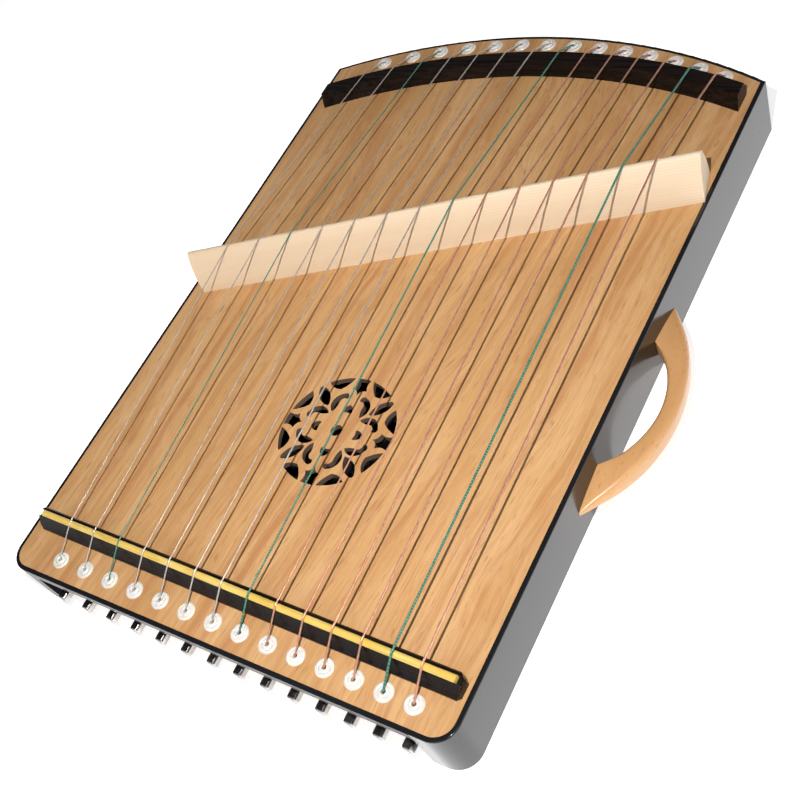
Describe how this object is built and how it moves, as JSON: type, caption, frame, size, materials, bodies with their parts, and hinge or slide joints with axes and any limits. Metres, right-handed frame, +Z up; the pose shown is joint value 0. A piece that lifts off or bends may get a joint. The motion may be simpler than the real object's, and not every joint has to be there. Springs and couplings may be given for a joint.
{
  "type": "guzheng",
  "caption": "Small portable table zither: flat pale board with a pierced rosette, black rim with a curved tail, strings over one slanting bridge, level tuning pins and a bow carry handle.",
  "frame": {"origin": "middle of the underside, half way between the tuning end and the crown of the curved tail, midway between the two sides", "axes": "+Z up, +Y from the tuning end to the curved tail, +X towards the bass strings and the carry handle"},
  "size_m": [0.353, 0.491, 0.0707],
  "materials": {
    "soundboard_wood": "clear satin",
    "black_lacquer": "gloss black lacquer",
    "inner_wood": "raw",
    "nut_wood": "polished black",
    "saddle_yellow": "satin yellow",
    "grommet_white": "white",
    "bridge_wood": "raw planed",
    "handle_wood": "clear lacquer",
    "screw_steel": "zinc plated",
    "ball_brass": "bright",
    "pin_steel": "nickel plated",
    "string_steel": "bright wire",
    "string_green": "green wrapped",
    "string_copper": "copper wound"
  },
  "bodies": {
    "root": {"soundboard": "soundboard_wood", "left_side": "black_lacquer", "right_side": "black_lacquer", "near_lip": "black_lacquer", "far_wall": "black_lacquer", "back_board": "black_lacquer", "pin_block": "inner_wood", "tail_block": "inner_wood", "far_bulkhead": "inner_wood", "near_brace": "inner_wood", "middle_brace": "inner_wood", "far_brace": "inner_wood", "back_brace": "inner_wood", "near_nut": "nut_wood", "far_nut": "nut_wood", "near_saddle_strip": "saddle_yellow", "near_grommets": "grommet_white", "far_grommets": "grommet_white", "handle": "handle_wood", "handle_screws": "screw_steel", "string_balls": "ball_brass", "string_01": "string_steel", "string_02": "string_steel", "string_03": "string_green", "string_04": "string_steel", "string_05": "string_steel", "string_06": "string_steel", "string_07": "string_steel", "string_08": "string_green", "string_09": "string_copper", "string_10": "string_copper", "string_11": "string_copper", "string_12": "string_copper", "string_13": "string_green", "string_14": "string_copper"},
    "bridge": {"bridge": "bridge_wood"},
    "pin_01": {"tuning_pin_01": "pin_steel"},
    "pin_02": {"tuning_pin_02": "pin_steel"},
    "pin_03": {"tuning_pin_03": "pin_steel"},
    "pin_04": {"tuning_pin_04": "pin_steel"},
    "pin_05": {"tuning_pin_05": "pin_steel"},
    "pin_06": {"tuning_pin_06": "pin_steel"},
    "pin_07": {"tuning_pin_07": "pin_steel"},
    "pin_08": {"tuning_pin_08": "pin_steel"},
    "pin_09": {"tuning_pin_09": "pin_steel"},
    "pin_10": {"tuning_pin_10": "pin_steel"},
    "pin_11": {"tuning_pin_11": "pin_steel"},
    "pin_12": {"tuning_pin_12": "pin_steel"},
    "pin_13": {"tuning_pin_13": "pin_steel"},
    "pin_14": {"tuning_pin_14": "pin_steel"}
  },
  "joints": [
    {"name": "bridge_slide", "type": "slide", "parent": "root", "child": "bridge", "axis": [0, 1, 0], "range_m": [-0.015, 0.015], "deforming": ["string_01", "string_02", "string_03", "string_04", "string_05", "string_06", "string_07", "string_08", "string_09", "string_10", "string_11", "string_12", "string_13", "string_14"]},
    {"name": "turn_pin_01", "type": "hinge", "parent": "root", "child": "pin_01", "pos_m": [-0.1278, -0.224, 0.016], "axis": [0, 1, 0], "continuous": true},
    {"name": "turn_pin_02", "type": "hinge", "parent": "root", "child": "pin_02", "pos_m": [-0.10589, -0.224, 0.016], "axis": [0, 1, 0], "continuous": true},
    {"name": "turn_pin_03", "type": "hinge", "parent": "root", "child": "pin_03", "pos_m": [-0.08431, -0.224, 0.016], "axis": [0, 1, 0], "continuous": true},
    {"name": "turn_pin_04", "type": "hinge", "parent": "root", "child": "pin_04", "pos_m": [-0.06305, -0.224, 0.016], "axis": [0, 1, 0], "continuous": true},
    {"name": "turn_pin_05", "type": "hinge", "parent": "root", "child": "pin_05", "pos_m": [-0.04212, -0.224, 0.016], "axis": [0, 1, 0], "continuous": true},
    {"name": "turn_pin_06", "type": "hinge", "parent": "root", "child": "pin_06", "pos_m": [-0.02151, -0.224, 0.016], "axis": [0, 1, 0], "continuous": true},
    {"name": "turn_pin_07", "type": "hinge", "parent": "root", "child": "pin_07", "pos_m": [-0.00123, -0.224, 0.016], "axis": [0, 1, 0], "continuous": true},
    {"name": "turn_pin_08", "type": "hinge", "parent": "root", "child": "pin_08", "pos_m": [0.01872, -0.224, 0.016], "axis": [0, 1, 0], "continuous": true},
    {"name": "turn_pin_09", "type": "hinge", "parent": "root", "child": "pin_09", "pos_m": [0.03835, -0.224, 0.016], "axis": [0, 1, 0], "continuous": true},
    {"name": "turn_pin_10", "type": "hinge", "parent": "root", "child": "pin_10", "pos_m": [0.05765, -0.224, 0.016], "axis": [0, 1, 0], "continuous": true},
    {"name": "turn_pin_11", "type": "hinge", "parent": "root", "child": "pin_11", "pos_m": [0.07662, -0.224, 0.016], "axis": [0, 1, 0], "continuous": true},
    {"name": "turn_pin_12", "type": "hinge", "parent": "root", "child": "pin_12", "pos_m": [0.09527, -0.224, 0.016], "axis": [0, 1, 0], "continuous": true},
    {"name": "turn_pin_13", "type": "hinge", "parent": "root", "child": "pin_13", "pos_m": [0.1136, -0.224, 0.016], "axis": [0, 1, 0], "continuous": true},
    {"name": "turn_pin_14", "type": "hinge", "parent": "root", "child": "pin_14", "pos_m": [0.1316, -0.224, 0.016], "axis": [0, 1, 0], "continuous": true}
  ]
}
